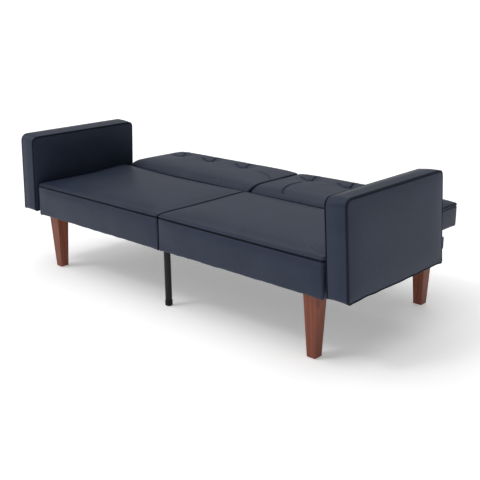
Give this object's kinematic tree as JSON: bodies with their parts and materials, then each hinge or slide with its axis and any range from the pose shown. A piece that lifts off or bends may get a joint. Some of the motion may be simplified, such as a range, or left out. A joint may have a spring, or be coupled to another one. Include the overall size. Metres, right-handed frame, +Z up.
{
  "type": "futon sofa bed",
  "caption": "Low click-clack sofa bed laid flat: split seat and tufted split backs in dark faux leather, slab arms, tapered wooden legs and a slim steel middle leg.",
  "frame": {"origin": "on the floor, under the middle of the sofa's overall box", "axes": "+X along the sofa, towards the right arm as seen from the front; +Y from the front edge to the backs; +Z up"},
  "size_m": [1.9, 0.891, 0.612],
  "materials": {
    "faux_leather": "satin",
    "foam_pad": "satin",
    "stained_wood": "satin",
    "plywood": "matte",
    "black_steel": "satin",
    "zinc_steel": "satin",
    "dust_cloth": "matte",
    "nylon": "matte",
    "foot_rubber": "matte"
  },
  "bodies": {
    "base": {"arm_bolts": "zinc_steel", "arm_cleats": "plywood", "arm_core_left": "plywood", "arm_core_right": "plywood", "arm_pad_left": "foam_pad", "arm_pad_right": "foam_pad", "base_centre_rail_left": "black_steel", "base_centre_rail_right": "black_steel", "base_cross_rails": "black_steel", "base_dust_cover": "dust_cloth", "base_front_rail": "black_steel", "base_rear_rail": "black_steel", "base_side_rail_left": "black_steel", "base_side_rail_right": "black_steel", "centre_leg_flange": "black_steel", "centre_leg_foot": "foot_rubber", "centre_leg_screws": "zinc_steel", "centre_leg_tube": "black_steel", "hinge_ear_bolts": "zinc_steel", "hinge_ears": "zinc_steel", "leg_glides": "nylon", "leg_plates": "black_steel", "leg_studs": "zinc_steel", "pawl_pins": "zinc_steel", "pawl_springs": "zinc_steel", "pivot_rivets": "zinc_steel", "seat_deck_left": "plywood", "seat_deck_right": "plywood", "seat_fascia_left": "plywood", "seat_fascia_right": "plywood", "seat_pad_left": "foam_pad", "seat_pad_right": "foam_pad", "wood_leg_front_left": "stained_wood", "wood_leg_front_right": "stained_wood", "wood_leg_rear_left": "stained_wood", "wood_leg_rear_right": "stained_wood"},
    "back_left": {"back_board_left": "plywood", "back_near_rail_left": "plywood", "back_far_rail_left": "plywood", "back_rib_outer_left": "plywood", "back_rib_inner_left": "plywood", "back_pad_left": "foam_pad", "back_dust_cover_left": "dust_cloth", "back_buttons_left": "faux_leather", "hinge_arms_left": "zinc_steel", "hinge_arm_bolts_left": "zinc_steel"},
    "back_right": {"back_board_right": "plywood", "back_near_rail_right": "plywood", "back_far_rail_right": "plywood", "back_rib_outer_right": "plywood", "back_rib_inner_right": "plywood", "back_pad_right": "foam_pad", "back_dust_cover_right": "dust_cloth", "back_buttons_right": "faux_leather", "hinge_arms_right": "zinc_steel", "hinge_arm_bolts_right": "zinc_steel"},
    "pawl_left_outer": {"pawl_left_outer": "zinc_steel"},
    "pawl_left_inner": {"pawl_left_inner": "zinc_steel"},
    "pawl_right_outer": {"pawl_right_outer": "zinc_steel"},
    "pawl_right_inner": {"pawl_right_inner": "zinc_steel"}
  },
  "joints": [
    {"name": "back_recline_left", "type": "hinge", "parent": "base", "child": "back_left", "pos_m": [-0.419, 0.15, 0.372], "axis": [1, 0, 0], "range_deg": [0, 80]},
    {"name": "back_recline_right", "type": "hinge", "parent": "base", "child": "back_right", "pos_m": [0.419, 0.15, 0.372], "axis": [1, 0, 0], "range_deg": [0, 80]},
    {"name": "pawl_lift_left_outer", "type": "hinge", "parent": "base", "child": "pawl_left_outer", "pos_m": [-0.8055, 0.126, 0.314], "axis": [-1, 0, 0], "range_deg": [0, 8], "stiffness_Nm_per_rad": 0.05, "springref_deg": -34.38},
    {"name": "pawl_lift_left_inner", "type": "hinge", "parent": "base", "child": "pawl_left_inner", "pos_m": [-0.0515, 0.126, 0.314], "axis": [-1, 0, 0], "range_deg": [0, 8], "stiffness_Nm_per_rad": 0.05, "springref_deg": -34.38},
    {"name": "pawl_lift_right_outer", "type": "hinge", "parent": "base", "child": "pawl_right_outer", "pos_m": [0.8055, 0.126, 0.314], "axis": [-1, 0, 0], "range_deg": [0, 8], "stiffness_Nm_per_rad": 0.05, "springref_deg": -34.38},
    {"name": "pawl_lift_right_inner", "type": "hinge", "parent": "base", "child": "pawl_right_inner", "pos_m": [0.0515, 0.126, 0.314], "axis": [-1, 0, 0], "range_deg": [0, 8], "stiffness_Nm_per_rad": 0.05, "springref_deg": -34.38}
  ]
}
